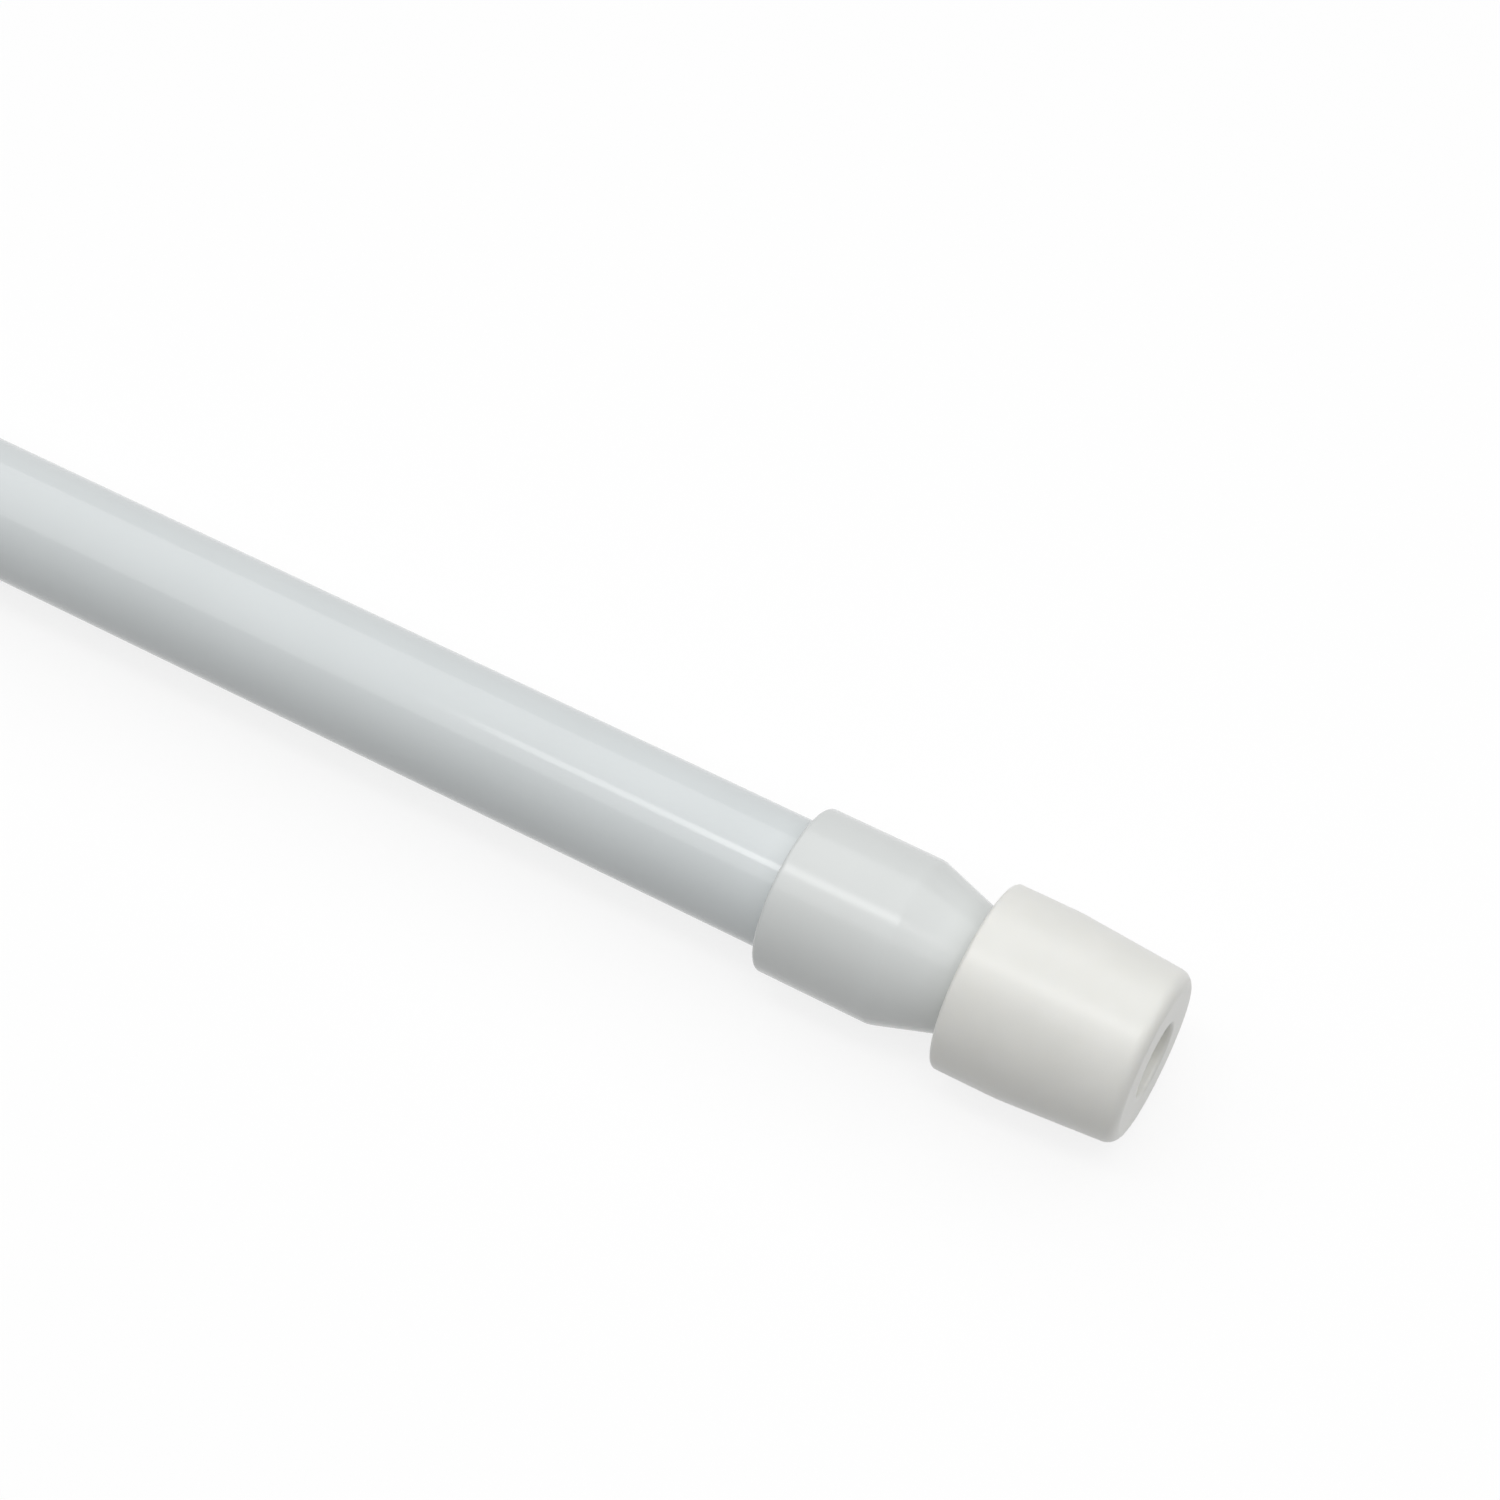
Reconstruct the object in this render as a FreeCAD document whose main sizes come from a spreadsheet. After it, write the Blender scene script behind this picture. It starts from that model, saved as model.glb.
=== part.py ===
import FreeCAD, Part
import Sketcher
import math
import os

# Spring tension rod: two telescoping painted steel tubes with rubber tips, held at a
# length by a twist lock and pressed against the walls by a spring inside the outer tube.
# X runs along the rod from the wall face of the outer end, which is the origin, and Z is up.
# Lengths are in millimetres and angles in degrees.

SIZES = {
    # tubes
    "outer_tube_od": 11.1,
    "outer_tube_wall": 0.5,
    "outer_tube_length": 396.0,
    "inner_tube_wall": 0.5,
    "inner_tube_exposed": 23.65,
    "telescope_gap": 0.3,
    "mouth_gap": 0.15,
    "mouth_land": 1.2,
    "mouth_bevel": 0.35,
    # end adapter
    "push_gap": 0.05,
    "collar_wall": 1.52,
    "collar_length": 10.1,
    "collar_shoulder": 0.5,
    "taper_angle": 17.7,
    "neck_wall": 1.5,
    "neck_end_wall": 1.5,
    "collar_rim_bevel": 0.4,
    "taper_break": 0.8,
    # wall tips
    "tip_length": 15.5,
    "tip_wall": 3.15,
    "tip_web": 3.5,
    "tip_skirt": 5.6,
    "tip_front_step": 0.73,
    "tip_mouth_flare": 0.44,
    "tip_nose_round": 1.2,
    "tip_rim_bevel": 0.4,
    "recess_diameter": 6.2,
    "recess_depth": 1.3,
    # twist lock
    "lock_standoff": 4.0,
    "lock_gap": 0.15,
    "running_gap": 0.1,
    "thread_diameter": 4.0,
    "thread_pitch": 1.0,
    "lock_turns": 1.5,
    "lock_angle": 9.0,
    "finger_length": 10.5,
    "sleeve_base": 4.2,
    "slot_width": 1.6,
    "key_gap": 0.2,
    "key_reach": 0.5,
    "cone_length": 7.0,
    "cone_stickout": 2.8,
    "collar_clearance": 0.45,
    "thrust_collar": 2.0,
    # snap rings
    "ring_thickness": 0.7,
    "ring_play": 0.1,
    "ring_width": 1.6,
    "ring_opening": 1.3,
    "ring_shoulder": 1.2,
    # shank, bush and spring
    "shank_side": 3.6,
    "bush_flange": 2.0,
    "bush_length": 10.0,
    "wire_diameter": 0.9,
    "coil_diameter": 6.8,
    "spring_length": 44.0,
    "active_turns": 7.0,
    "end_coil_gap": 0.1,
}

FINGERS = 3
NOSE_CHORDS = 4
WIRE_SIDES = 6
STATIONS_PER_TURN = 12


class Size:
    """A length or an angle: its number now, and the sheet expression that it follows."""

    def __init__(self, number, text):
        self.number = number
        self.text = text

    def __add__(self, other):
        return Size(self.number + other.number, f"({self.text} + {other.text})")

    def __sub__(self, other):
        return Size(self.number - other.number, f"({self.text} - {other.text})")

    def __mul__(self, other):
        return Size(self.number * other.number, f"({self.text} * {other.text})")

    def __truediv__(self, other):
        return Size(self.number / other.number, f"({self.text} / {other.text})")


def plain(number):
    """A number that doesn't come from the sheet, such as the 2 of a half."""
    return Size(number, str(number))


def half(whole):
    return whole / plain(2)


def tangent(angle):
    return Size(math.tan(math.radians(angle.number)), f"tan({angle.text})")


ZERO = plain(0)

doc = FreeCAD.newDocument("spring_tension_rod")
sheet = doc.addObject("Spreadsheet::Sheet", "Sizes")
for row, (name, value) in enumerate(SIZES.items(), 1):
    sheet.set(f"A{row}", name)
    sheet.set(f"B{row}", str(value))
    sheet.setAlias(f"B{row}", name)
doc.recompute()
size = {name: Size(sheet.get(name), f"Sizes.{name}") for name in SIZES}


# Sketches and features

def origin_feature(body, role):
    return next(item for item in body.Origin.OriginFeatures if item.Role == role)


def new_sketch(body, role, offset=ZERO):
    """A sketch on one of the body's own origin planes, moved along that plane's normal."""
    sketch = body.newObject("Sketcher::SketchObject", f"{body.Name}_sketch")
    sketch.AttachmentSupport = [(origin_feature(body, role), "")]
    sketch.MapMode = "FlatFace"
    if offset is not ZERO:
        sketch.setExpression("AttachmentOffset.Base.z", offset.text)
    return sketch


def dimension(sketch, constraint, value):
    index = sketch.addConstraint(constraint)
    sketch.setExpression(f"Constraints[{index}]", value.text)


def place_point(sketch, line, x, y):
    """Dimensions the start of a line from the sketch origin."""
    for kind, axis, value in (("DistanceX", -2, x), ("DistanceY", -1, y)):
        if value.number == 0:
            sketch.addConstraint(Sketcher.Constraint("PointOnObject", line, 1, axis))
        elif value.number > 0:
            dimension(sketch, Sketcher.Constraint(kind, -1, 1, line, 1, value.number), value)
        else:
            value = ZERO - value
            dimension(sketch, Sketcher.Constraint(kind, line, 1, -1, 1, value.number), value)


def draw_outline(sketch, corners):
    """A closed outline of straight lines through the corners, each an x and a y."""
    points = [FreeCAD.Vector(x.number, y.number, 0) for x, y in corners]
    followers = points[1:] + points[:1]
    for start, end in zip(points, followers):
        sketch.addGeometry(Part.LineSegment(start, end), False)
    for line, (x, y) in enumerate(corners):
        after = (line + 1) % len(corners)
        sketch.addConstraint(Sketcher.Constraint("Coincident", line, 2, after, 1))
        place_point(sketch, line, x, y)


def draw_circle(sketch, radius):
    centre = FreeCAD.Vector(0, 0, 0)
    circle = sketch.addGeometry(Part.Circle(centre, FreeCAD.Vector(0, 0, 1), radius.number), False)
    sketch.addConstraint(Sketcher.Constraint("Coincident", circle, 3, -1, 1))
    dimension(sketch, Sketcher.Constraint("Radius", circle, radius.number), radius)


def new_feature(body, kind, profile, **settings):
    """Adds a feature made from a sketch, with each of its sizes following the sheet."""
    feature = body.newObject(f"PartDesign::{kind}", f"{body.Name}_{kind.lower()}")
    feature.Profile = profile
    for key, value in settings.items():
        if isinstance(value, Size):
            setattr(feature, key, value.number)
            feature.setExpression(key, value.text)
        else:
            setattr(feature, key, value)
    doc.recompute()
    return feature


def turned_body(label, corners):
    """A body turned around X from half of its lengthwise section: places along X and radii."""
    body = doc.addObject("PartDesign::Body", label)
    sketch = new_sketch(body, "XY_Plane")
    draw_outline(sketch, corners)
    new_feature(body, "Revolution", sketch, ReferenceAxis=(sketch, ["H_Axis"]), Angle=360)
    return body


def square_corners(side):
    """The corners of a square centred on the axis."""
    high = half(side)
    low = ZERO - high
    return [(low, low), (high, low), (high, high), (low, high)]


def strip_corners(width, inner, outer):
    """The corners of a radial strip as wide as a slot or key."""
    high = half(width)
    low = ZERO - high
    return [(low, inner), (high, inner), (high, outer), (low, outer)]


def around_axis(body, feature, count):
    """Repeats a feature evenly around the rod's axis."""
    pattern = body.newObject("PartDesign::PolarPattern", f"{body.Name}_pattern")
    pattern.Originals = [feature]
    pattern.Axis = (origin_feature(body, "X_Axis"), [""])
    pattern.Angle = 360
    pattern.Occurrences = count
    body.Tip = pattern
    doc.recompute()


def rounded_nose(reach, radius, rounding):
    """The corners of a rounded front edge, from the flat face out to the side, as short chords."""
    corners = []
    for chord in range(NOSE_CHORDS + 1):
        angle = math.pi / 2 * chord / NOSE_CHORDS
        x = reach + rounding * plain(round(1 - math.sin(angle), 6))
        y = radius - rounding * plain(round(1 - math.cos(angle), 6))
        corners.append((x, y))
    return corners[::-1]


def set_place(body, x, turned=False):
    """Puts a finished body at its place along the rod, end for end if it is turned round."""
    angle = 180 if turned else 0
    spin = FreeCAD.Rotation(FreeCAD.Vector(0, 0, 1), angle)
    body.Placement = FreeCAD.Placement(FreeCAD.Vector(x.number, 0, 0), spin)
    body.setExpression("Placement.Base.x", x.text)


# Radii that more than one piece shares

outer_radius = half(size["outer_tube_od"])
bore_radius = outer_radius - size["outer_tube_wall"]
inner_radius = bore_radius - size["telescope_gap"]
inner_bore_radius = inner_radius - size["inner_tube_wall"]
tip_socket_radius = inner_radius + size["push_gap"]
guided_radius = bore_radius - size["lock_gap"]
thread_radius = half(size["thread_diameter"])
thread_hole_radius = thread_radius + size["running_gap"]
collar_radius = outer_radius + size["push_gap"] + size["collar_wall"]
taper = tangent(size["taper_angle"])
lock_taper = tangent(size["lock_angle"])
ring_slot = size["ring_thickness"] + size["ring_play"]
clip_slot_radius = half(size["shank_side"]) - half(ring_slot)

# Places along the outer end, from its wall face

flare_length = size["tip_mouth_flare"] / taper
neck_length = size["tip_length"] - flare_length - size["tip_web"]
taper_end = neck_length + (collar_radius - inner_radius) / taper
socket_floor = taper_end + size["collar_shoulder"]
adapter_length = taper_end + size["collar_length"]
outer_tube_start = size["tip_web"] + socket_floor
mouth = outer_tube_start + size["outer_tube_length"]

# Places along the spindle, from its threaded end

stop_slot_end = size["ring_shoulder"] + ring_slot
cone_start = stop_slot_end + size["running_gap"]
sleeve_start = cone_start + size["cone_stickout"]
sleeve_length = size["finger_length"] + size["sleeve_base"]
thread_length = sleeve_start + sleeve_length + size["running_gap"]
shank_start = thread_length + size["thrust_collar"]
spring_end = shank_start + size["spring_length"]
bush_end = spring_end + size["bush_flange"] + size["bush_length"]
clip_slot_start = bush_end + size["running_gap"]
clip_slot_end = clip_slot_start + ring_slot
spindle_end = clip_slot_end + size["ring_shoulder"]

# Places of the moving pieces along the rod

spindle_start = outer_tube_start + size["lock_standoff"]
inner_tube_start = spindle_start + spring_end + size["bush_flange"]
rod_length = mouth + size["inner_tube_exposed"] + size["tip_length"]
inner_tube_length = rod_length - size["tip_web"] - inner_tube_start


# Rubber tip that pushes on over a tube or neck and presses on the wall

def wall_tip(label):
    """Straight skirt, then a slight taper to a rounded nose with a recess in its flat face."""
    length = size["tip_length"]
    bevel = size["tip_rim_bevel"]
    rim_radius = tip_socket_radius + size["tip_wall"]
    recess_radius = half(size["recess_diameter"])
    corners = [(size["recess_depth"], ZERO), (size["recess_depth"], recess_radius), (ZERO, recess_radius)]
    corners += rounded_nose(ZERO, rim_radius - size["tip_front_step"], size["tip_nose_round"])
    corners += [
        (length - size["tip_skirt"], rim_radius),
        (length - bevel, rim_radius),
        (length, rim_radius - bevel),
        (length, tip_socket_radius + size["tip_mouth_flare"]),
        (length - flare_length, tip_socket_radius),
        (size["tip_web"], tip_socket_radius),
        (size["tip_web"], ZERO),
    ]
    return turned_body(label, corners)


# Moulded adapter: a collar over the outer tube that tapers to a neck for the tip

def end_adapter():
    tube_socket_radius = outer_radius + size["push_gap"]
    core_radius = inner_radius - size["neck_wall"]
    bevel = size["collar_rim_bevel"]
    broken = half(size["taper_break"])
    return turned_body("end_adapter", [
        (ZERO, ZERO),
        (ZERO, inner_radius),
        (neck_length, inner_radius),
        (taper_end - broken, collar_radius - broken * taper),
        (taper_end + broken, collar_radius),
        (adapter_length - bevel, collar_radius),
        (adapter_length, collar_radius - bevel),
        (adapter_length, tube_socket_radius),
        (socket_floor, tube_socket_radius),
        (socket_floor, core_radius),
        (size["neck_end_wall"], core_radius),
        (size["neck_end_wall"], ZERO),
    ])


# Tubes

def outer_tube():
    """Open tube whose mouth is rolled in a little to guide the inner tube."""
    length = size["outer_tube_length"]
    bevel = size["mouth_bevel"]
    lip_radius = inner_radius + size["mouth_gap"]
    lip_start = length - size["mouth_land"]
    return turned_body("outer_tube", [
        (ZERO, bore_radius),
        (ZERO, outer_radius),
        (length - bevel, outer_radius),
        (length, outer_radius - bevel),
        (length, lip_radius),
        (lip_start, lip_radius),
        (lip_start - size["outer_tube_wall"], bore_radius),
    ])


def inner_tube():
    return turned_body("inner_tube", [
        (ZERO, inner_bore_radius),
        (ZERO, inner_radius),
        (inner_tube_length, inner_radius),
        (inner_tube_length, inner_bore_radius),
    ])


# Twist lock

def lock_spindle():
    """Threaded end for the cone, a thrust collar, and a square shank that turns with the inner tube."""
    slot_radius = thread_radius - ring_slot
    body = turned_body("lock_spindle", [
        (ZERO, ZERO),
        (ZERO, thread_radius),
        (size["ring_shoulder"], thread_radius),
        (size["ring_shoulder"], slot_radius),
        (stop_slot_end, slot_radius),
        (stop_slot_end, thread_radius),
        (thread_length, thread_radius),
        (thread_length, bore_radius - size["collar_clearance"]),
        (shank_start, bore_radius - size["collar_clearance"]),
        (shank_start, ZERO),
    ])
    shank = new_sketch(body, "YZ_Plane", shank_start)
    draw_outline(shank, square_corners(size["shank_side"]))
    new_feature(body, "Pad", shank, Length=spindle_end - shank_start)
    clip_slot = new_sketch(body, "XY_Plane")
    draw_outline(clip_slot, [
        (clip_slot_start, clip_slot_radius),
        (clip_slot_end, clip_slot_radius),
        (clip_slot_end, size["shank_side"]),
        (clip_slot_start, size["shank_side"]),
    ])
    new_feature(body, "Groove", clip_slot, ReferenceAxis=(clip_slot, ["H_Axis"]), Angle=360)
    return body


def lock_sleeve():
    """Split collet: slotted fingers that the cone spreads against the outer tube's bore."""
    mouth_radius = thread_hole_radius + size["finger_length"] * lock_taper
    body = turned_body("lock_sleeve", [
        (ZERO, mouth_radius),
        (ZERO, guided_radius),
        (sleeve_length, guided_radius),
        (sleeve_length, thread_hole_radius),
        (size["finger_length"], thread_hole_radius),
    ])
    slot = new_sketch(body, "YZ_Plane")
    draw_outline(slot, strip_corners(size["slot_width"], ZERO, outer_radius))
    cut = new_feature(body, "Pocket", slot, Length=size["finger_length"], Reversed=True)
    around_axis(body, cut, FINGERS)
    return body


def expander_cone():
    """Cone nut that the thread draws into the sleeve, kept from turning by keys in the slots."""
    draw = size["thread_pitch"] * size["lock_turns"]
    gap = draw * lock_taper + size["running_gap"]
    mouth_radius = thread_hole_radius + size["finger_length"] * lock_taper
    large_radius = mouth_radius + size["cone_stickout"] * lock_taper - gap
    small_radius = large_radius - size["cone_length"] * lock_taper
    body = turned_body("expander_cone", [
        (ZERO, thread_hole_radius),
        (ZERO, large_radius),
        (size["cone_length"], small_radius),
        (size["cone_length"], thread_hole_radius),
    ])
    key_start = size["cone_stickout"] + size["key_reach"]
    key_width = size["slot_width"] - size["key_gap"] - size["key_gap"]
    root = half(thread_hole_radius + small_radius)
    key = new_sketch(body, "YZ_Plane", key_start)
    draw_outline(key, strip_corners(key_width, root, guided_radius - size["key_reach"]))
    rib = new_feature(body, "Pad", key, Length=size["cone_length"] - key_start)
    around_axis(body, rib, FINGERS)
    return body


def snap_ring(label, slot_radius):
    """Open spring ring that snaps into a slot of the spindle."""
    inside = slot_radius + half(size["ring_play"])
    outside = inside + size["ring_width"]
    body = doc.addObject("PartDesign::Body", label)
    disc = new_sketch(body, "YZ_Plane")
    draw_circle(disc, outside)
    draw_circle(disc, inside)
    new_feature(body, "Pad", disc, Length=size["ring_thickness"])
    opening = new_sketch(body, "YZ_Plane")
    draw_outline(opening, strip_corners(size["ring_opening"], ZERO, outside + size["ring_width"]))
    new_feature(body, "Pocket", opening, Length=size["ring_thickness"], Reversed=True)
    return body


# Bush and spring

def tube_end_bush():
    """Flanged bush pressed into the inner tube, with a square hole for the shank."""
    body_radius = inner_bore_radius - size["push_gap"]
    flange = size["bush_flange"]
    end = flange + size["bush_length"]
    body = turned_body("tube_end_bush", [
        (ZERO, ZERO),
        (ZERO, guided_radius),
        (flange, guided_radius),
        (flange, body_radius),
        (end, body_radius),
        (end, ZERO),
    ])
    hole = new_sketch(body, "YZ_Plane")
    draw_outline(hole, square_corners(size["shank_side"] + size["running_gap"] + size["running_gap"]))
    new_feature(body, "Pocket", hole, Length=end, Reversed=True)
    return body


def wire_section(x, coil_radius, wire_radius, angle):
    """The wire's many-sided section in the plane through the axis, at an angle around the coil."""
    points = []
    for side in range(WIRE_SIDES):
        turn = 2 * math.pi * (side + 0.5) / WIRE_SIDES
        radius = coil_radius + wire_radius * math.sin(turn)
        across = FreeCAD.Vector(0, radius * math.cos(angle), radius * math.sin(angle))
        points.append(across + FreeCAD.Vector(x + wire_radius * math.cos(turn), 0, 0))
    return Part.makePolygon(points + points[:1])


def tension_spring():
    """Compression spring lofted along its coil: a closed turn at each end, an open pitch between."""
    wire = size["wire_diameter"].number
    coil_radius = size["coil_diameter"].number / 2
    active = size["active_turns"].number
    end_pitch = wire + size["end_coil_gap"].number
    pitch = (size["spring_length"].number - wire - 2 * end_pitch) / active
    stations = round((active + 2) * STATIONS_PER_TURN)
    sections = []
    for station in range(stations + 1):
        turns = (active + 2) * station / stations
        opened = min(max(turns - 1, 0), active)
        x = wire / 2 + opened * pitch + (turns - opened) * end_pitch
        sections.append(wire_section(x, coil_radius, wire / 2, 2 * math.pi * turns))
    spring = doc.addObject("Part::Feature", "tension_spring")
    spring.Shape = Part.makeLoft(sections, True, True)
    return spring


# Assembly

pieces = []


def add(body, x, turned=False):
    set_place(body, x, turned)
    pieces.append(body)


add(wall_tip("outer_tip"), ZERO)
add(end_adapter(), size["tip_web"])
add(outer_tube(), outer_tube_start)
add(lock_sleeve(), spindle_start + sleeve_start)
add(expander_cone(), spindle_start + cone_start)
add(lock_spindle(), spindle_start)
add(snap_ring("stop_ring", thread_radius - ring_slot), spindle_start + size["ring_shoulder"])
add(snap_ring("retaining_ring", clip_slot_radius), spindle_start + clip_slot_start)
add(tension_spring(), spindle_start + shank_start)
add(tube_end_bush(), spindle_start + spring_end)
add(inner_tube(), inner_tube_start)
add(wall_tip("inner_tip"), rod_length, turned=True)
doc.recompute()

for item in doc.Objects:
    if "Invalid" in item.State or "Error" in item.State:
        raise RuntimeError(f"{item.Label} did not build")

os.makedirs("parts", exist_ok=True)
for piece in pieces:
    shape = piece.Shape
    if shape.isNull() or not shape.isValid() or len(shape.Solids) != 1:
        raise RuntimeError(f"{piece.Label} is not one sound solid")
    shape.exportStep(f"parts/{piece.Label}.step")
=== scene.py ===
import math

import bmesh
import bpy
from mathutils import Matrix, Vector


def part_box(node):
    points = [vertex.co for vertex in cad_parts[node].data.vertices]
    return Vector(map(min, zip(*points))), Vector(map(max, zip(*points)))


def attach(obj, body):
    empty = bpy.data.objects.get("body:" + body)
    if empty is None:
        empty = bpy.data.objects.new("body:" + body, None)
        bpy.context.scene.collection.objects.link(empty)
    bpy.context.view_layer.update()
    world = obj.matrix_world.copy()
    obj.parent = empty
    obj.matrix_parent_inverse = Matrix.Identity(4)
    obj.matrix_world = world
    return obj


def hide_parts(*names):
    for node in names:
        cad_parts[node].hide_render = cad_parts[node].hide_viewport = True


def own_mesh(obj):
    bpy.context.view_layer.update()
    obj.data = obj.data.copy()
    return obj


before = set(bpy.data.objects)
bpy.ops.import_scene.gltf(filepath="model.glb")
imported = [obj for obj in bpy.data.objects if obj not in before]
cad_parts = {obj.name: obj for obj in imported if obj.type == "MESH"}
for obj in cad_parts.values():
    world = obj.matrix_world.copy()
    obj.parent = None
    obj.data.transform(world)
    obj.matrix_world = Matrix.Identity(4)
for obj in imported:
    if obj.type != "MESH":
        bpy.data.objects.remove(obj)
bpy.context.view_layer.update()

# Spring tension rod seen close to its outer end: rubber tip, moulded adapter and painted tube.
# Pieces are drawn in millimetres and brought to the frame's metres by MM.

MM = 0.001
AROUND = 128
ARC_STEPS = 8
MERGE_DISTANCE = 1e-7
SHARP_ANGLE = math.radians(40)


# Drawing pieces about the rod's axis

def place_of(node, end):
    """Where a CAD node starts (end 0) or stops (end 1) along the rod, in millimetres."""
    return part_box(node)[end][0] / MM


def softened(corners):
    """A section outline with each corner (x, radius, rounding) turned by an arc of that rounding."""
    outline = []
    for index, (x, radius, rounding) in enumerate(corners):
        here = Vector((x, radius))
        if not rounding:
            outline.append(here)
            continue
        before = (Vector(corners[index - 1][:2]) - here).normalized()
        after = (Vector(corners[(index + 1) % len(corners)][:2]) - here).normalized()
        half_angle = before.angle(after) / 2
        reach = rounding / math.tan(half_angle)
        centre = here + (before + after).normalized() * rounding / math.sin(half_angle)
        first = here + before * reach - centre
        last = here + after * reach - centre
        start = math.atan2(first.y, first.x)
        sweep = math.remainder(math.atan2(last.y, last.x) - start, 2 * math.pi)
        for step in range(ARC_STEPS + 1):
            angle = start + sweep * step / ARC_STEPS
            outline.append(centre + rounding * Vector((math.cos(angle), math.sin(angle))))
    return [(point.x, point.y) for point in outline]


def ring_about_axis(x, reach, around=AROUND):
    """Points about the axis at one place; reach is a radius, or a function from angle to radius."""
    ring = []
    for step in range(around):
        angle = 2 * math.pi * step / around
        radius = reach(angle) if callable(reach) else reach
        ring.append(Vector((x, radius * math.cos(angle), radius * math.sin(angle))))
    return ring


def skinned(name, rings, looped):
    """A mesh piece skinned over rings of points; a looped run closes on itself, another is capped."""
    shape = bmesh.new()
    loops = [[shape.verts.new(point * MM) for point in ring] for ring in rings]
    pairs = list(zip(loops, loops[1:]))
    if looped:
        pairs.append((loops[-1], loops[0]))
    else:
        shape.faces.new(loops[0])
        shape.faces.new(loops[-1])
    for one, other in pairs:
        count = len(one)
        for step in range(count):
            after = (step + 1) % count
            shape.faces.new((one[step], one[after], other[after], other[step]))
    bmesh.ops.remove_doubles(shape, verts=shape.verts, dist=MERGE_DISTANCE)
    bmesh.ops.dissolve_degenerate(shape, edges=shape.edges, dist=MERGE_DISTANCE)
    bmesh.ops.recalc_face_normals(shape, faces=shape.faces)
    mesh = bpy.data.meshes.new(name)
    shape.to_mesh(mesh)
    shape.free()
    mesh.shade_smooth()
    mesh.set_sharp_from_angle(angle=SHARP_ANGLE)
    piece = bpy.data.objects.new(name, mesh)
    bpy.context.scene.collection.objects.link(piece)
    evening = piece.modifiers.new("even_shading", "WEIGHTED_NORMAL")
    evening.keep_sharp = True
    return piece


def turned(name, outline):
    """A piece turned about the axis from its section outline."""
    return skinned(name, [ring_about_axis(x, reach) for x, reach in outline], looped=True)


def fit_piece(piece, material, body, node):
    """Gives a piece its finish and its body, and hides the CAD node that it stands for."""
    piece.data.materials.append(material)
    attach(piece, body)
    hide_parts(node)


# Sizes that the pieces share, in millimetres

OUTER_TUBE_RADIUS = 5.55
OUTER_BORE_RADIUS = 5.05
MOUTH_LIP_RADIUS = 4.9
INNER_TUBE_RADIUS = 4.75
INNER_BORE_RADIUS = 4.25
COLLAR_RADIUS = 7.12
COLLAR_BORE_RADIUS = 5.6
COLLAR_LENGTH = 10.1
COLLAR_SHOULDER = 0.5
# One tip fits the adapter's neck and the inner tube
NECK_RADIUS = INNER_TUBE_RADIUS
NECK_CORE_RADIUS = 3.25
NECK_END_WALL = 1.5
TAPER_ANGLE = math.radians(17.7)
TIP_LENGTH = 15.5
TIP_SKIRT = 5.6
TIP_RIM_RADIUS = 7.95
TIP_FRONT_RADIUS = 7.22
TIP_NOSE_ROUND = 1.2
TIP_SOCKET_RADIUS = 4.8
TIP_MOUTH_FLARE = 0.44
TIP_WEB = 3.5
RECESS_RADIUS = 3.1
RECESS_DEPTH = 1.3
THREAD_RADIUS = 2.0
THREAD_PITCH = 1.0
SHANK_SIDE = 3.6
WIRE_RADIUS = 0.45
COIL_RADIUS = 3.4
ACTIVE_TURNS = 7
CLOSED_PITCH = 1.0


# Materials

# Sockets of the colour mixing node
MIX_FROM = 6
MIX_TO = 7
MIXED = 2


def linear(colour):
    """An sRGB hex colour as the linear values that a shader takes."""
    channels = [int(colour[place:place + 2], 16) / 255 for place in (1, 3, 5)]
    straight = [c / 12.92 if c <= 0.04045 else ((c + 0.055) / 1.055) ** 2.4 for c in channels]
    return (*straight, 1.0)


def cells(size):
    """The pattern scale that makes one cell this many millimetres wide."""
    return 1 / (size * MM)


def add_node(tree, kind, inputs=None, **settings):
    """Adds a node with its settings; an input is a plain value or another node's output."""
    node = tree.nodes.new(kind)
    for name, value in settings.items():
        setattr(node, name, value)
    for name, value in (inputs or {}).items():
        if isinstance(value, bpy.types.NodeSocket):
            tree.links.new(value, node.inputs[name])
        else:
            node.inputs[name].default_value = value
    return node


def new_material(name):
    """An empty node material and its tree."""
    material = bpy.data.materials.new(name)
    material.use_nodes = True
    material.node_tree.nodes.clear()
    return material, material.node_tree


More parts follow.
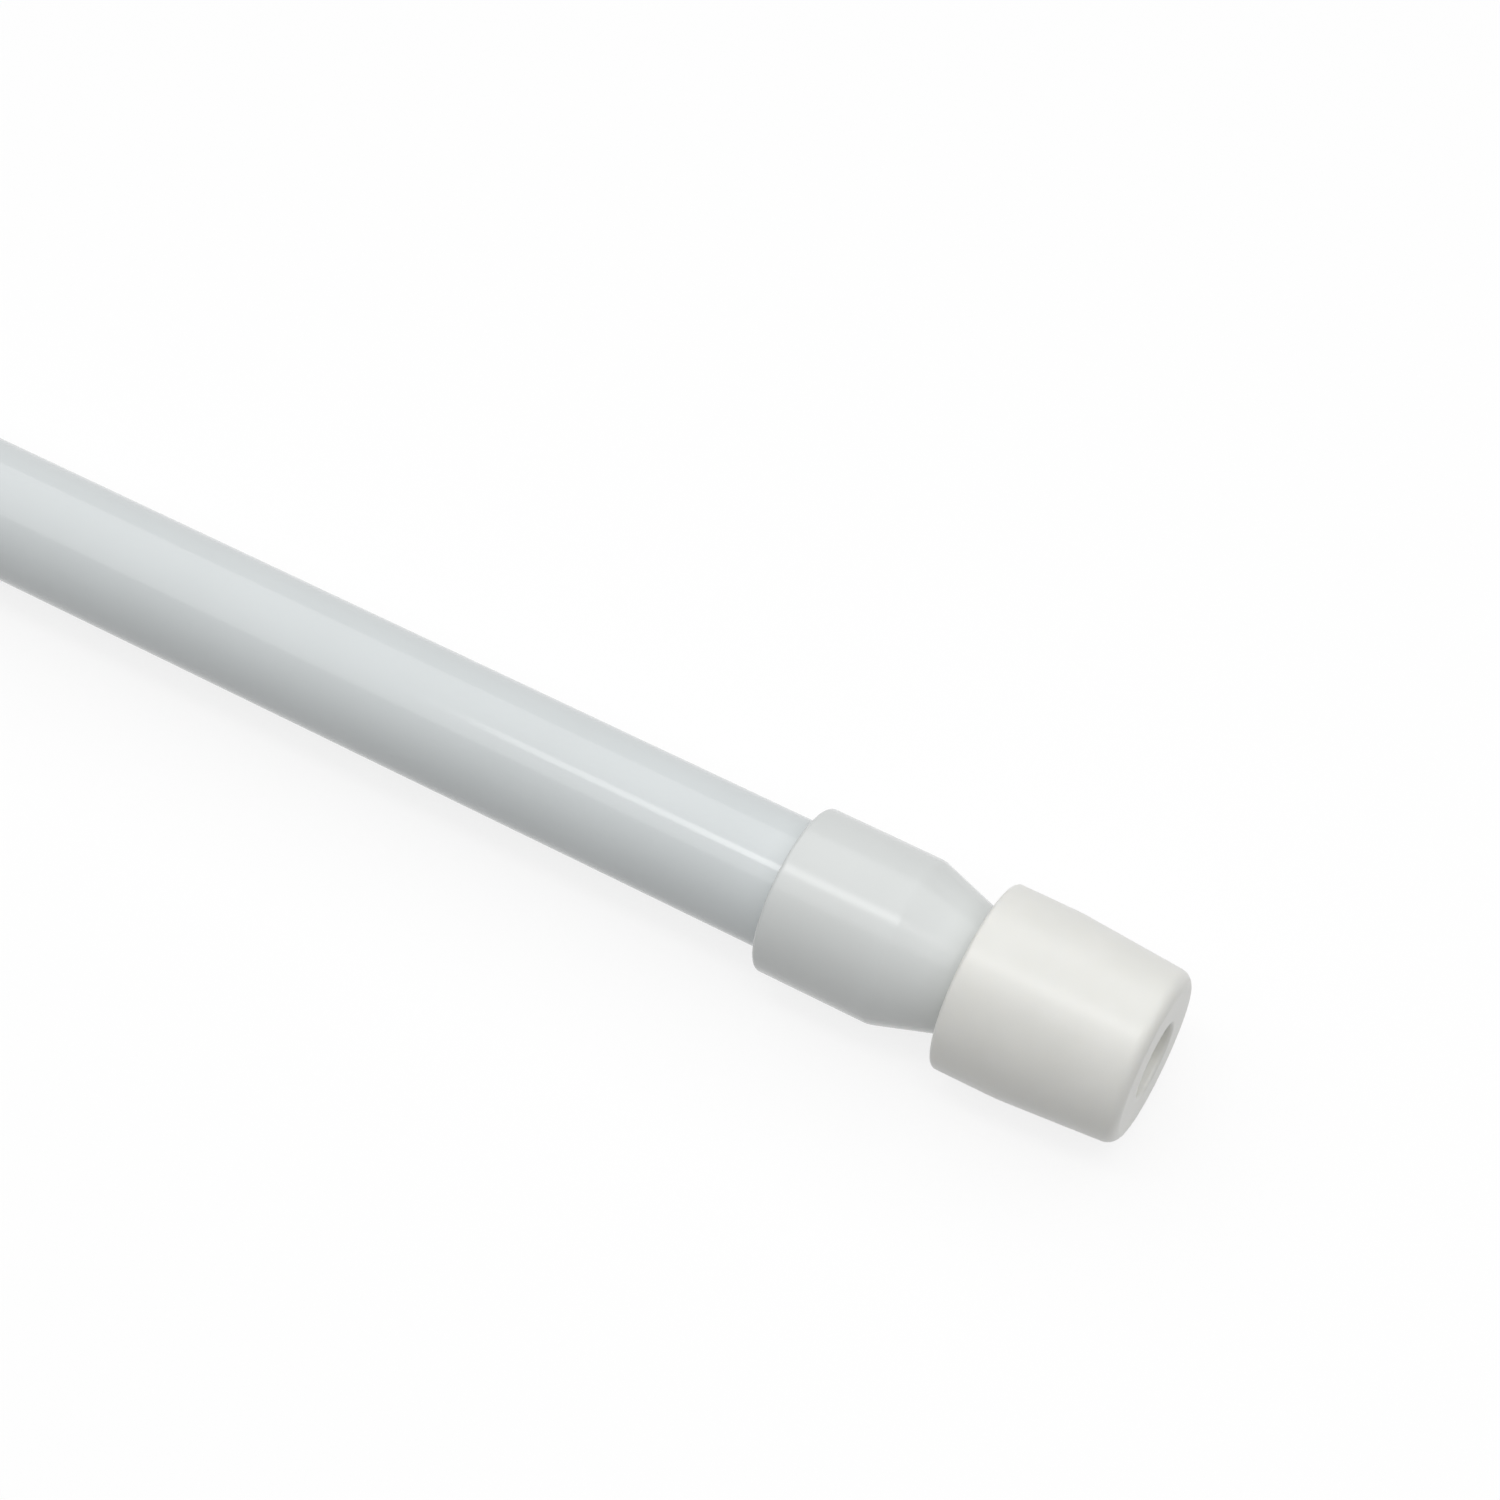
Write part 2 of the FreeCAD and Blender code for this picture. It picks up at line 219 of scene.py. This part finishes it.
def stove_enamel_on_steel():
    """Gloss white enamel sprayed and stoved on drawn tube: a sharp highlight that wavers a
    little on the orange peel, a cool tone, and slow changes of film depth along the tube."""
    material, tree = new_material("stove_enamel_on_steel")
    where = add_node(tree, "ShaderNodeTexCoord").outputs["Object"]
    along = add_node(tree, "ShaderNodeMapping", {"Vector": where, "Scale": (0.06, 1.0, 1.0)})
    drawn = add_node(tree, "ShaderNodeTexNoise", {"Vector": along.outputs["Vector"], "Scale": cells(2.5)})
    film = add_node(tree, "ShaderNodeTexNoise", {"Vector": where, "Scale": cells(14.0)})
    peel = add_node(tree, "ShaderNodeTexNoise", {"Vector": where, "Scale": cells(1.6), "Detail": 1.0})
    tone = add_node(tree, "ShaderNodeMix", {
        "Factor": film.outputs["Fac"], MIX_FROM: linear("#D1D6D7"), MIX_TO: linear("#D9DEDF"),
    }, data_type="RGBA")
    gloss = add_node(tree, "ShaderNodeMapRange", {
        "Value": drawn.outputs["Fac"], "To Min": 0.07, "To Max": 0.15,
    })
    bump = add_node(tree, "ShaderNodeBump", {
        "Height": peel.outputs["Fac"], "Strength": 0.04, "Distance": 0.04 * MM,
    })
    paint = add_node(tree, "ShaderNodeBsdfPrincipled", {
        "Base Color": tone.outputs[MIXED],
        "Roughness": gloss.outputs["Result"],
        "IOR": 1.5,
        "Normal": bump.outputs["Normal"],
    })
    add_node(tree, "ShaderNodeOutputMaterial", {"Surface": paint.outputs["BSDF"]})
    return material


def satin_moulded_polypropylene():
    """Injection-moulded polypropylene from a lightly blasted mould: a faintly cool white with a
    narrow soft highlight. The blast grain is about 0.1 mm, drawn at 0.35 mm so that it shows."""
    material, tree = new_material("satin_moulded_polypropylene")
    where = add_node(tree, "ShaderNodeTexCoord").outputs["Object"]
    flow = add_node(tree, "ShaderNodeTexNoise", {"Vector": where, "Scale": cells(6.0)})
    grain = add_node(tree, "ShaderNodeTexNoise", {"Vector": where, "Scale": cells(0.35), "Detail": 1.0})
    tone = add_node(tree, "ShaderNodeMix", {
        "Factor": flow.outputs["Fac"], MIX_FROM: linear("#D5D8D7"), MIX_TO: linear("#DCDFDE"),
    }, data_type="RGBA")
    satin = add_node(tree, "ShaderNodeMapRange", {
        "Value": flow.outputs["Fac"], "To Min": 0.14, "To Max": 0.22,
    })
    bump = add_node(tree, "ShaderNodeBump", {
        "Height": grain.outputs["Fac"], "Strength": 0.08, "Distance": 0.03 * MM,
    })
    plastic = add_node(tree, "ShaderNodeBsdfPrincipled", {
        "Base Color": tone.outputs[MIXED],
        "Roughness": satin.outputs["Result"],
        "IOR": 1.49,
        "Normal": bump.outputs["Normal"],
    })
    add_node(tree, "ShaderNodeOutputMaterial", {"Surface": plastic.outputs["BSDF"]})
    return material


def matte_moulded_vinyl():
    """Soft vinyl rubber moulded off-white: warm, a little translucent at its edges, with a
    wide soft sheen, faint clouding from the plasticiser and a fine skin drawn at 0.5 mm."""
    material, tree = new_material("matte_moulded_vinyl")
    where = add_node(tree, "ShaderNodeTexCoord").outputs["Object"]
    cloud = add_node(tree, "ShaderNodeTexNoise", {"Vector": where, "Scale": cells(4.0)})
    skin = add_node(tree, "ShaderNodeTexNoise", {"Vector": where, "Scale": cells(0.5)})
    tone = add_node(tree, "ShaderNodeMix", {
        "Factor": cloud.outputs["Fac"], MIX_FROM: linear("#E3E3DE"), MIX_TO: linear("#EBEBE7"),
    }, data_type="RGBA")
    dullness = add_node(tree, "ShaderNodeMapRange", {
        "Value": cloud.outputs["Fac"], "To Min": 0.26, "To Max": 0.36,
    })
    bump = add_node(tree, "ShaderNodeBump", {
        "Height": skin.outputs["Fac"], "Strength": 0.12, "Distance": 0.04 * MM,
    })
    rubber = add_node(tree, "ShaderNodeBsdfPrincipled", {
        "Base Color": tone.outputs[MIXED],
        "Roughness": dullness.outputs["Result"],
        "IOR": 1.52,
        "Subsurface Weight": 0.12,
        "Subsurface Radius": (1.2, 1.1, 0.9),
        "Subsurface Scale": MM,
        "Normal": bump.outputs["Normal"],
    })
    add_node(tree, "ShaderNodeOutputMaterial", {"Surface": rubber.outputs["BSDF"]})
    return material


def natural_acetal():
    """Uncoloured acetal as moulded: a milky, slightly yellow white with a waxy gloss and
    faint flow clouds."""
    material, tree = new_material("natural_acetal")
    where = add_node(tree, "ShaderNodeTexCoord").outputs["Object"]
    flow = add_node(tree, "ShaderNodeTexNoise", {"Vector": where, "Scale": cells(3.0)})
    skin = add_node(tree, "ShaderNodeTexNoise", {"Vector": where, "Scale": cells(0.4), "Detail": 1.0})
    tone = add_node(tree, "ShaderNodeMix", {
        "Factor": flow.outputs["Fac"], MIX_FROM: linear("#D7D6CB"), MIX_TO: linear("#E5E4DC"),
    }, data_type="RGBA")
    wax = add_node(tree, "ShaderNodeMapRange", {
        "Value": flow.outputs["Fac"], "To Min": 0.27, "To Max": 0.43,
    })
    bump = add_node(tree, "ShaderNodeBump", {
        "Height": skin.outputs["Fac"], "Strength": 0.1, "Distance": 0.03 * MM,
    })
    acetal = add_node(tree, "ShaderNodeBsdfPrincipled", {
        "Base Color": tone.outputs[MIXED],
        "Roughness": wax.outputs["Result"],
        "IOR": 1.48,
        "Normal": bump.outputs["Normal"],
    })
    add_node(tree, "ShaderNodeOutputMaterial", {"Surface": acetal.outputs["BSDF"]})
    return material


def glass_filled_nylon():
    """Dark nylon moulded with short glass fibres: the fibres lie along the flow as pale flecks
    about 0.3 mm long and leave the skin dull and slightly rough."""
    material, tree = new_material("glass_filled_nylon")
    where = add_node(tree, "ShaderNodeTexCoord").outputs["Object"]
    along = add_node(tree, "ShaderNodeMapping", {"Vector": where, "Scale": (0.3, 1.0, 1.0)})
    fibres = add_node(tree, "ShaderNodeTexNoise", {"Vector": along.outputs["Vector"], "Scale": cells(0.12)})
    flecks = add_node(tree, "ShaderNodeMapRange", {
        "Value": fibres.outputs["Fac"], "From Min": 0.5, "From Max": 0.75,
    })
    tone = add_node(tree, "ShaderNodeMix", {
        "Factor": flecks.outputs["Result"], MIX_FROM: linear("#343436"), MIX_TO: linear("#4A4A4B"),
    }, data_type="RGBA")
    dullness = add_node(tree, "ShaderNodeMapRange", {
        "Value": fibres.outputs["Fac"], "To Min": 0.4, "To Max": 0.65,
    })
    bump = add_node(tree, "ShaderNodeBump", {
        "Height": fibres.outputs["Fac"], "Strength": 0.2, "Distance": 0.02 * MM,
    })
    nylon = add_node(tree, "ShaderNodeBsdfPrincipled", {
        "Base Color": tone.outputs[MIXED],
        "Roughness": dullness.outputs["Result"],
        "IOR": 1.53,
        "Normal": bump.outputs["Normal"],
    })
    add_node(tree, "ShaderNodeOutputMaterial", {"Surface": nylon.outputs["BSDF"]})
    return material


def drawn_spring_steel():
    """Oiled high-carbon steel, cold drawn: bright grey with a darker patchy film and fine
    draw lines, so that the highlight on each turn breaks up a little."""
    material, tree = new_material("drawn_spring_steel")
    where = add_node(tree, "ShaderNodeTexCoord").outputs["Object"]
    across = add_node(tree, "ShaderNodeMapping", {"Vector": where, "Scale": (1.0, 0.15, 0.15)})
    lines = add_node(tree, "ShaderNodeTexNoise", {"Vector": across.outputs["Vector"], "Scale": cells(0.12)})
    film = add_node(tree, "ShaderNodeTexNoise", {"Vector": where, "Scale": cells(2.5)})
    tone = add_node(tree, "ShaderNodeMix", {
        "Factor": film.outputs["Fac"], MIX_FROM: linear("#84827F"), MIX_TO: linear("#B0AEAA"),
    }, data_type="RGBA")
    oiling = add_node(tree, "ShaderNodeMapRange", {
        "Value": film.outputs["Fac"], "To Min": 0.2, "To Max": 0.4,
    })
    bump = add_node(tree, "ShaderNodeBump", {
        "Height": lines.outputs["Fac"], "Strength": 0.15, "Distance": 0.01 * MM,
    })
    steel = add_node(tree, "ShaderNodeBsdfPrincipled", {
        "Base Color": tone.outputs[MIXED],
        "Metallic": 1.0,
        "Roughness": oiling.outputs["Result"],
        "Normal": bump.outputs["Normal"],
    })
    add_node(tree, "ShaderNodeOutputMaterial", {"Surface": steel.outputs["BSDF"]})
    return material


tube_enamel = stove_enamel_on_steel()
adapter_plastic = satin_moulded_polypropylene()
tip_vinyl = matte_moulded_vinyl()
lock_acetal = natural_acetal()
spindle_nylon = glass_filled_nylon()
spring_steel = drawn_spring_steel()


# Wall tips and end adapter, with their roundings in millimetres

RECESS_FLOOR_ROUND = 0.4
RECESS_LIP_ROUND = 0.35
TIP_SKIRT_BLEND = 20.0
TIP_RIM_ROUND = 0.4
TIP_MOUTH_ROUND = 0.15
TIP_FLARE_BLEND = 0.5
TIP_SOCKET_ROUND = 0.3
NECK_END_ROUND = 0.3
NECK_ROOT_BLEND = 1.0
SHOULDER_BLEND = 2.6
COLLAR_END_ROUND = 0.4
COLLAR_MOUTH_ROUND = 0.15
COLLAR_SOCKET_ROUND = 0.1
NECK_CORE_MOUTH_ROUND = 0.2
NECK_CORE_FLOOR_ROUND = 0.3


def tip_section(face, inward):
    """Half section of a wall tip: its face lies at one place, and the rest lies inward of it."""
    flare_length = TIP_MOUTH_FLARE / math.tan(TAPER_ANGLE)
    corners = [
        (RECESS_DEPTH, 0.0, 0.0),
        (RECESS_DEPTH, RECESS_RADIUS, RECESS_FLOOR_ROUND),
        (0.0, RECESS_RADIUS, RECESS_LIP_ROUND),
        (0.0, TIP_FRONT_RADIUS, TIP_NOSE_ROUND),
        (TIP_LENGTH - TIP_SKIRT, TIP_RIM_RADIUS, TIP_SKIRT_BLEND),
        (TIP_LENGTH, TIP_RIM_RADIUS, TIP_RIM_ROUND),
        (TIP_LENGTH, TIP_SOCKET_RADIUS + TIP_MOUTH_FLARE, TIP_MOUTH_ROUND),
        (TIP_LENGTH - flare_length, TIP_SOCKET_RADIUS, TIP_FLARE_BLEND),
        (TIP_WEB, TIP_SOCKET_RADIUS, TIP_SOCKET_ROUND),
        (TIP_WEB, 0.0, 0.0),
    ]
    return [(face + inward * x, radius) for x, radius in softened(corners)]


def adapter_section():
    """Half section of the adapter: neck for the tip, taper, and collar over the tube."""
    start = place_of("end_adapter", 0)
    collar_end = place_of("end_adapter", 1)
    taper_end = collar_end - COLLAR_LENGTH
    neck_end = taper_end - (COLLAR_RADIUS - NECK_RADIUS) / math.tan(TAPER_ANGLE)
    socket_floor = taper_end + COLLAR_SHOULDER
    core_floor = start + NECK_END_WALL
    return softened([
        (start, 0.0, 0.0),
        (start, NECK_RADIUS, NECK_END_ROUND),
        (neck_end, NECK_RADIUS, NECK_ROOT_BLEND),
        (taper_end, COLLAR_RADIUS, SHOULDER_BLEND),
        (collar_end, COLLAR_RADIUS, COLLAR_END_ROUND),
        (collar_end, COLLAR_BORE_RADIUS, COLLAR_MOUTH_ROUND),
        (socket_floor, COLLAR_BORE_RADIUS, COLLAR_SOCKET_ROUND),
        (socket_floor, NECK_CORE_RADIUS, NECK_CORE_MOUTH_ROUND),
        (core_floor, NECK_CORE_RADIUS, NECK_CORE_FLOOR_ROUND),
        (core_floor, 0.0, 0.0),
    ])


outer_tip = turned("outer_tip_vinyl", tip_section(place_of("outer_tip", 0), 1))
fit_piece(outer_tip, tip_vinyl, "outer", "outer_tip")
inner_tip = turned("inner_tip_vinyl", tip_section(place_of("inner_tip", 1), -1))
fit_piece(inner_tip, tip_vinyl, "inner", "inner_tip")
end_adapter = turned("end_adapter_moulding", adapter_section())
fit_piece(end_adapter, adapter_plastic, "outer", "end_adapter")


# Tubes, with their roundings in millimetres

MOUTH_LIP_LENGTH = 1.2
MOUTH_LIP_SLOPE = 0.5
MOUTH_ROLL_ROUND = 0.4
MOUTH_EDGE_ROUND = 0.15
OUTER_CUT_ROUND = 0.15
OUTER_BORE_ROUND = 0.1
INNER_CUT_ROUND = 0.12


def outer_tube_section():
    """Half section of the outer tube, with its far mouth rolled in to guide the inner tube."""
    start = place_of("outer_tube", 0)
    mouth = place_of("outer_tube", 1)
    lip_start = mouth - MOUTH_LIP_LENGTH
    return softened([
        (start, OUTER_BORE_RADIUS, OUTER_BORE_ROUND),
        (start, OUTER_TUBE_RADIUS, OUTER_CUT_ROUND),
        (mouth, OUTER_TUBE_RADIUS, MOUTH_ROLL_ROUND),
        (mouth, MOUTH_LIP_RADIUS, MOUTH_EDGE_ROUND),
        (lip_start, MOUTH_LIP_RADIUS, MOUTH_ROLL_ROUND),
        (lip_start - MOUTH_LIP_SLOPE, OUTER_BORE_RADIUS, MOUTH_ROLL_ROUND),
    ])


def inner_tube_section():
    """Half section of the inner tube, with its cut ends broken."""
    start = place_of("inner_tube", 0)
    stop = place_of("inner_tube", 1)
    return softened([
        (start, INNER_BORE_RADIUS, INNER_CUT_ROUND),
        (start, INNER_TUBE_RADIUS, INNER_CUT_ROUND),
        (stop, INNER_TUBE_RADIUS, INNER_CUT_ROUND),
        (stop, INNER_BORE_RADIUS, INNER_CUT_ROUND),
    ])


outer_tube = turned("outer_tube_enamelled", outer_tube_section())
fit_piece(outer_tube, tube_enamel, "outer", "outer_tube")
inner_tube = turned("inner_tube_enamelled", inner_tube_section())
fit_piece(inner_tube, tube_enamel, "inner", "inner_tube")


# Spindle with its thread, bush and spring

# Steps of the meshes
SPINDLE_AROUND = 64
BUSH_AROUND = 96
THREAD_STEPS_PER_PITCH = 8
SPRING_STEPS_PER_TURN = 48
WIRE_SIDES = 14
# Shares of half a pitch that the thread's crest and flank take
CREST_SHARE = 0.15
FLANK_SHARE = 0.7
# Sizes in millimetres
EDGE_BREAK = 0.2
END_BREAK = 0.3
RING_SLOT = 0.8
THREAD_DEPTH = 0.4
THREAD_FADE = 0.8
STOP_SLOT_SETBACK = 1.2
STOP_SLOT_RADIUS = 1.2
THRUST_COLLAR_LENGTH = 2.0
THRUST_COLLAR_RADIUS = 4.6
CLIP_SLOT_RADIUS = 1.4
SHANK_CORNER_RADIUS = 2.4
SHANK_END_BREAK = 0.25
BUSH_FLANGE_RADIUS = 4.9
BUSH_BODY_RADIUS = 4.2
BUSH_LEAD = 0.4
HOLE_CLEARANCE = 0.1
HOLE_CORNER_RADIUS = 2.6
HOLE_LEAD = 0.25


def square_of(side, corner_radius):
    """The reach of a square with its corners broken, by angle about the axis."""
    def reach(angle):
        flat = side / 2 / max(abs(math.cos(angle)), abs(math.sin(angle)))
        return min(flat, corner_radius)
    return reach


def thread_at(x, fade):
    """The reach of a right-hand thread's flanks at one place along the spindle, by angle."""
    depth = THREAD_DEPTH * fade

    def reach(angle):
        phase = (x / THREAD_PITCH - angle / (2 * math.pi)) % 1
        flank = abs(2 * phase - 1)
        cut = min(max((flank - CREST_SHARE) / FLANK_SHARE, 0), 1)
        return THREAD_RADIUS - depth * cut
    return reach


def spindle_rings():
    """Rings of the spindle from its threaded end to the end of its square shank."""
    start = place_of("lock_spindle", 0)
    end = place_of("lock_spindle", 1)
    slot_start = start + STOP_SLOT_SETBACK
    slot_end = slot_start + RING_SLOT
    collar_end = place_of("tension_spring", 0)
    collar_start = collar_end - THRUST_COLLAR_LENGTH
    clip_start = place_of("retaining_ring", 0)
    clip_end = clip_start + RING_SLOT
    shank = square_of(SHANK_SIDE, SHANK_CORNER_RADIUS)
    broken_shank = square_of(SHANK_SIDE - 2 * SHANK_END_BREAK, SHANK_CORNER_RADIUS - SHANK_END_BREAK)
    thread_steps = round((collar_start - slot_end) * THREAD_STEPS_PER_PITCH / THREAD_PITCH)
    stations = [
        (start, THREAD_RADIUS - END_BREAK),
        (start + END_BREAK, THREAD_RADIUS),
        (slot_start, THREAD_RADIUS),
        (slot_start, STOP_SLOT_RADIUS),
        (slot_end, STOP_SLOT_RADIUS),
        (slot_end, THREAD_RADIUS),
    ]
    for step in range(1, thread_steps):
        x = slot_end + step * THREAD_PITCH / THREAD_STEPS_PER_PITCH
        fade = min(1, (x - slot_end) / THREAD_FADE, (collar_start - x) / THREAD_FADE)
        stations.append((x, thread_at(x, fade)))
    stations += [
        (collar_start, THREAD_RADIUS),
        (collar_start, THRUST_COLLAR_RADIUS - EDGE_BREAK),
        (collar_start + EDGE_BREAK, THRUST_COLLAR_RADIUS),
        (collar_end - EDGE_BREAK, THRUST_COLLAR_RADIUS),
        (collar_end, THRUST_COLLAR_RADIUS - EDGE_BREAK),
        (collar_end, shank),
        (clip_start, shank),
        (clip_start, CLIP_SLOT_RADIUS),
        (clip_end, CLIP_SLOT_RADIUS),
        (clip_end, shank),
        (end - END_BREAK, shank),
        (end, broken_shank),
    ]
    return [ring_about_axis(x, reach, SPINDLE_AROUND) for x, reach in stations]


def bush_rings():
    """Rings of the flanged bush, out along its outside and back along its square hole."""
    start = place_of("tube_end_bush", 0)
    end = place_of("tube_end_bush", 1)
    flange_end = place_of("inner_tube", 0)
    hole_side = SHANK_SIDE + 2 * HOLE_CLEARANCE
    hole = square_of(hole_side, HOLE_CORNER_RADIUS)
    lead_in = square_of(hole_side + 2 * HOLE_LEAD, HOLE_CORNER_RADIUS + END_BREAK)
    stations = [
        (start, BUSH_FLANGE_RADIUS - EDGE_BREAK),
        (start + EDGE_BREAK, BUSH_FLANGE_RADIUS),
        (flange_end - EDGE_BREAK, BUSH_FLANGE_RADIUS),
        (flange_end, BUSH_FLANGE_RADIUS - EDGE_BREAK),
        (flange_end, BUSH_BODY_RADIUS),
        (end - BUSH_LEAD, BUSH_BODY_RADIUS),
        (end, BUSH_BODY_RADIUS - BUSH_LEAD),
        (end, lead_in),
        (end - END_BREAK, hole),
        (start + END_BREAK, hole),
        (start, lead_in),
    ]
    return [ring_about_axis(x, reach, BUSH_AROUND) for x, reach in stations]


def spring_rings():
    """Rings of round wire along the coil: a closed turn at each end and an open pitch between."""
    start = place_of("tension_spring", 0)
    length = place_of("tension_spring", 1) - start
    open_pitch = (length - 2 * WIRE_RADIUS - 2 * CLOSED_PITCH) / ACTIVE_TURNS
    steps = (ACTIVE_TURNS + 2) * SPRING_STEPS_PER_TURN
    rings = []
    for step in range(steps + 1):
        turns = step / SPRING_STEPS_PER_TURN
        opened = min(max(turns - 1, 0), ACTIVE_TURNS)
        x = start + WIRE_RADIUS + opened * open_pitch + (turns - opened) * CLOSED_PITCH
        angle = 2 * math.pi * turns
        outward = Vector((0, math.cos(angle), math.sin(angle)))
        ring = []
        for side in range(WIRE_SIDES):
            turn = 2 * math.pi * side / WIRE_SIDES
            offset = outward * (COIL_RADIUS + WIRE_RADIUS * math.sin(turn))
            ring.append(Vector((x + WIRE_RADIUS * math.cos(turn), 0, 0)) + offset)
        rings.append(ring)
    return rings


spindle = skinned("lock_spindle_moulding", spindle_rings(), looped=False)
fit_piece(spindle, spindle_nylon, "spindle", "lock_spindle")
bush = skinned("tube_end_bush_moulding", bush_rings(), looped=True)
fit_piece(bush, lock_acetal, "inner", "tube_end_bush")
spring = skinned("tension_spring_wire", spring_rings(), looped=False)
fit_piece(spring, spring_steel, "spindle", "tension_spring")
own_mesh(spring)


# Lock pieces that keep their CAD shapes

for node_name, finish in (
    ("lock_sleeve", lock_acetal),
    ("expander_cone", lock_acetal),
    ("stop_ring", spring_steel),
    ("retaining_ring", spring_steel),
):
    for material_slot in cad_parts[node_name].material_slots:
        material_slot.material = finish


# Floor, light and camera

# The floor's reach and the camera's nearest sight, in metres
FLOOR_HALF_WIDTH = 60.0
NEAREST_SEEN = 0.01
# Shares of full white
PAPER_GLOW = 0.82
ROOM_LIGHT = 0.14
# The photograph's view, with lengths in millimetres
VIEW_AZIMUTH = math.radians(209.513)
VIEW_ELEVATION = math.radians(55.493)
VIEW_DISTANCE = 253.629
VIEW_CENTRE_ALONG_ROD = 35.698
VIEW_CENTRE_RISE = 9.381
LENS_LENGTH = 76.267
SENSOR_WIDTH = 36.0


def seen_only(tree, plain, seen):
    """One shader for light that bounces, another for what the eye, a reflection or a clear piece sees."""
    path = add_node(tree, "ShaderNodeLightPath").outputs
    eye_or_gloss = add_node(tree, "ShaderNodeMath", {
        0: path["Is Camera Ray"], 1: path["Is Glossy Ray"],
    }, operation="MAXIMUM")
    any_sight = add_node(tree, "ShaderNodeMath", {
        0: eye_or_gloss.outputs["Value"], 1: path["Is Transmission Ray"],
    }, operation="MAXIMUM")
    choice = add_node(tree, "ShaderNodeMixShader", {"Fac": any_sight.outputs["Value"], 1: plain, 2: seen})
    return choice.outputs["Shader"]


def pale_paper_floor():
    """Matte white background paper, bright enough to the eye to read as white, with a soft shadow."""
    material, tree = new_material("pale_paper_floor")
    where = add_node(tree, "ShaderNodeTexCoord").outputs["Object"]
    fibre = add_node(tree, "ShaderNodeTexNoise", {"Vector": where, "Scale": cells(1.5)})
    tone = add_node(tree, "ShaderNodeMix", {
        "Factor": fibre.outputs["Fac"], MIX_FROM: linear("#BFBFBF"), MIX_TO: linear("#C8C8C8"),
    }, data_type="RGBA")
    paper = add_node(tree, "ShaderNodeBsdfDiffuse", {"Color": tone.outputs[MIXED]})
    white_paper = add_node(tree, "ShaderNodeBsdfDiffuse", {"Color": linear("#FFFFFF")})
    glow = add_node(tree, "ShaderNodeEmission", {"Color": linear("#FFFFFF"), "Strength": 1.0})
    lit_paper = add_node(tree, "ShaderNodeMixShader", {
        "Fac": PAPER_GLOW, 1: white_paper.outputs["BSDF"], 2: glow.outputs["Emission"],
    })
    surface = seen_only(tree, paper.outputs["BSDF"], lit_paper.outputs["Shader"])
    add_node(tree, "ShaderNodeOutputMaterial", {"Surface": surface})
    return material


def lay_floor():
    """A wide sheet of paper that the rod's two tips lie on."""
    level = -TIP_RIM_RADIUS * MM
    corners = [
        (-FLOOR_HALF_WIDTH, -FLOOR_HALF_WIDTH),
        (FLOOR_HALF_WIDTH, -FLOOR_HALF_WIDTH),
        (FLOOR_HALF_WIDTH, FLOOR_HALF_WIDTH),
        (-FLOOR_HALF_WIDTH, FLOOR_HALF_WIDTH),
    ]
    mesh = bpy.data.meshes.new("paper_floor")
    mesh.from_pydata([(x, y, level) for x, y in corners], [], [(0, 1, 2, 3)])
    mesh.materials.append(pale_paper_floor())
    floor = bpy.data.objects.new("paper_floor", mesh)
    bpy.context.scene.collection.objects.link(floor)


def light_room():
    """Even light from all round, and white where a camera or a reflection sees past the floor."""
    world = bpy.data.worlds.new("studio_room")
    world.use_nodes = True
    tree = world.node_tree
    tree.nodes.clear()
    ambient = add_node(tree, "ShaderNodeBackground", {"Color": linear("#FFFFFF"), "Strength": ROOM_LIGHT})
    white = add_node(tree, "ShaderNodeBackground", {"Color": linear("#FFFFFF"), "Strength": 1.0})
    room = seen_only(tree, ambient.outputs["Background"], white.outputs["Background"])
    add_node(tree, "ShaderNodeOutputWorld", {"Surface": room})
    bpy.context.scene.world = world


def hang_lamp(name, place, size, watts):
    """A rectangular soft lamp at a place, facing straight down; sizes in metres."""
    lamp = bpy.data.lights.new(name, "AREA")
    lamp.shape = "RECTANGLE"
    lamp.size, lamp.size_y = size
    lamp.energy = watts
    holder = bpy.data.objects.new(name, lamp)
    holder.location = place
    bpy.context.scene.collection.objects.link(holder)


def set_camera():
    """The photograph's view: from in front of the tip, well above the rod, with a longish lens."""
    back = Vector((
        math.sin(VIEW_AZIMUTH) * math.cos(VIEW_ELEVATION),
        -math.cos(VIEW_AZIMUTH) * math.cos(VIEW_ELEVATION),
        math.sin(VIEW_ELEVATION),
    ))
    right = Vector((math.cos(VIEW_AZIMUTH), math.sin(VIEW_AZIMUTH), 0))
    up = back.cross(right)
    target = Vector((VIEW_CENTRE_ALONG_ROD, 0, 0)) + VIEW_CENTRE_RISE * up
    place = (target + VIEW_DISTANCE * back) * MM
    lens = bpy.data.cameras.new("photo_camera")
    lens.sensor_width = SENSOR_WIDTH
    lens.lens = LENS_LENGTH
    lens.clip_start = NEAREST_SEEN
    camera = bpy.data.objects.new("photo_camera", lens)
    axes = Matrix((right, up, back)).transposed().to_4x4()
    camera.matrix_world = Matrix.Translation(place) @ axes
    bpy.context.scene.collection.objects.link(camera)
    bpy.context.scene.camera = camera


lay_floor()
light_room()
hang_lamp("overhead_softbox", place=(0.0, -0.13, 0.5), size=(1.4, 1.04), watts=4.95)
hang_lamp("front_strip", place=(0.0075, 0.082, 0.49), size=(0.355, 0.088), watts=0.41)
hang_lamp("fading_strip", place=(0.215, 0.082, 0.49), size=(0.06, 0.088), watts=0.045)
set_camera()
bpy.context.scene.view_settings.view_transform = "Standard"
